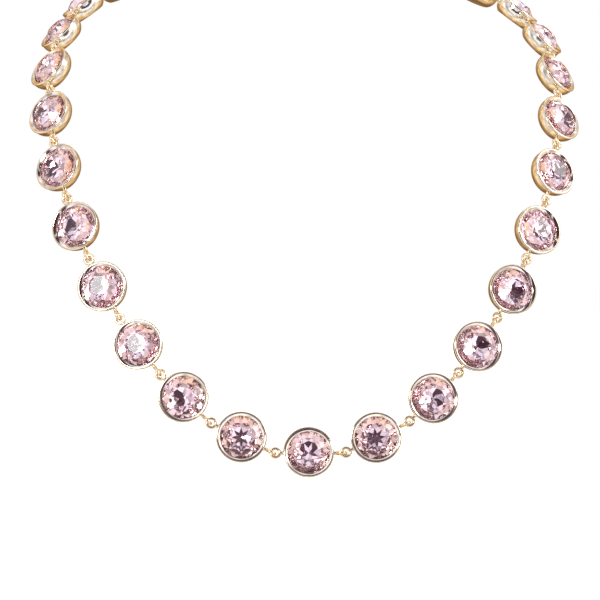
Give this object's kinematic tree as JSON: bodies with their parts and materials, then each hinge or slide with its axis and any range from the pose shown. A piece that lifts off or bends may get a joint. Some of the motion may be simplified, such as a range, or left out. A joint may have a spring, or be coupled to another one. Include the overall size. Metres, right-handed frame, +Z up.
{
  "type": "riviere necklace",
  "caption": "Closed row of round cut stones in rolled-rim metal cups, linked ring to loop, hanging in the deep curve it takes round a neck, with a plain barrel clasp at the nape.",
  "frame": {"origin": "middle of the clasp's inner side, where the necklace rests on the nape", "axes": "+X is the viewer's right, +Y runs from the chest to the nape, +Z is up"},
  "size_m": [0.1454, 0.1049, 0.1435],
  "materials": {
    "rose_gold": "polished pale rose gold plate",
    "rose_crystal": "clear, cut and polished"
  },
  "bodies": {
    "root": {"setting_01": "rose_gold", "setting_02": "rose_gold", "setting_03": "rose_gold", "setting_04": "rose_gold", "setting_05": "rose_gold", "setting_06": "rose_gold", "setting_07": "rose_gold", "setting_08": "rose_gold", "setting_09": "rose_gold", "setting_10": "rose_gold", "setting_11": "rose_gold", "setting_12": "rose_gold", "setting_13": "rose_gold", "setting_14": "rose_gold", "setting_15": "rose_gold", "setting_16": "rose_gold", "setting_17": "rose_gold", "setting_18": "rose_gold", "setting_19": "rose_gold", "setting_20": "rose_gold", "setting_21": "rose_gold", "setting_22": "rose_gold", "setting_23": "rose_gold", "setting_24": "rose_gold", "setting_25": "rose_gold", "setting_26": "rose_gold", "setting_27": "rose_gold", "stone_01": "rose_crystal", "stone_02": "rose_crystal", "stone_03": "rose_crystal", "stone_04": "rose_crystal", "stone_05": "rose_crystal", "stone_06": "rose_crystal", "stone_07": "rose_crystal", "stone_08": "rose_crystal", "stone_09": "rose_crystal", "stone_10": "rose_crystal", "stone_11": "rose_crystal", "stone_12": "rose_crystal", "stone_13": "rose_crystal", "stone_14": "rose_crystal", "stone_15": "rose_crystal", "stone_16": "rose_crystal", "stone_17": "rose_crystal", "stone_18": "rose_crystal", "stone_19": "rose_crystal", "stone_20": "rose_crystal", "stone_21": "rose_crystal", "stone_22": "rose_crystal", "stone_23": "rose_crystal", "stone_24": "rose_crystal", "stone_25": "rose_crystal", "stone_26": "rose_crystal", "stone_27": "rose_crystal", "clasp": "rose_gold"}
  },
  "joints": []
}
